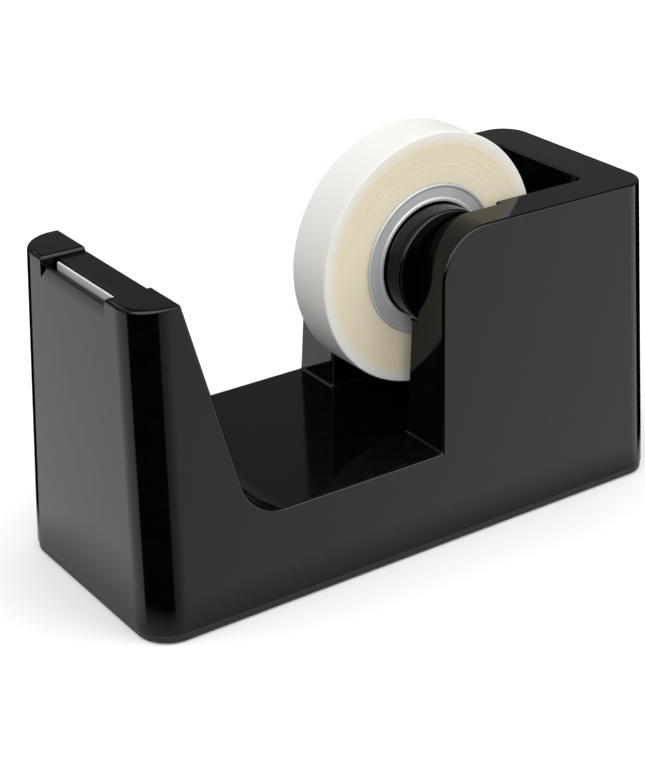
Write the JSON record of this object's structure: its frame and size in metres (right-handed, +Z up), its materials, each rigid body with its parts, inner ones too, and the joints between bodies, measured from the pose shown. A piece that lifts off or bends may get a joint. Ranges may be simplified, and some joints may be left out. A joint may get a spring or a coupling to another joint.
{
  "type": "tape dispenser",
  "caption": "Weighted desk tape dispenser with a serrated cutter on its front tower and a lift-out reel holding a small-core roll of tape.",
  "frame": {"origin": "middle of the outline, on the surface that the dispenser stands on", "axes": "+X from the cutter to the back, +Y across the housing along the reel's axis, +Z up"},
  "size_m": [0.1399, 0.0578, 0.0906],
  "materials": {
    "gloss_black": "gloss",
    "moulded_black": "satin",
    "pad_rubber": "matt",
    "ballast_iron": "as cast",
    "screw_steel": "zinc plated",
    "blade_steel": "bright",
    "brake_felt": "felt",
    "core_grey": "satin",
    "tape_film": "translucent film"
  },
  "bodies": {
    "base": {"housing": "gloss_black", "base_plate": "moulded_black", "anti_slip_pad_front": "pad_rubber", "anti_slip_pad_back": "pad_rubber", "ballast_front": "ballast_iron", "ballast_back": "ballast_iron", "base_screw_1": "screw_steel", "base_screw_2": "screw_steel", "base_screw_3": "screw_steel", "base_screw_4": "screw_steel", "ballast_screw_1": "screw_steel", "ballast_screw_2": "screw_steel", "ballast_screw_3": "screw_steel", "ballast_screw_4": "screw_steel", "cutter_bar": "gloss_black", "cutter_blade": "blade_steel", "cutter_bar_screw_1": "screw_steel", "cutter_bar_screw_2": "screw_steel"},
    "reel": {"spindle": "gloss_black", "spindle_loose_disc": "gloss_black", "spindle_screw": "screw_steel", "brake_ring_left": "brake_felt", "brake_ring_right": "brake_felt"},
    "roll": {"drum": "gloss_black", "tape_core": "core_grey", "tape_roll": "tape_film"}
  },
  "joints": [
    {"name": "reel_lift", "type": "slide", "parent": "base", "child": "reel", "axis": [0, 0, 1], "range_m": [0, 0.045]},
    {"name": "roll_spin", "type": "hinge", "parent": "reel", "child": "roll", "pos_m": [0.014, 0, 0.0617], "axis": [0, 1, 0], "continuous": true}
  ]
}
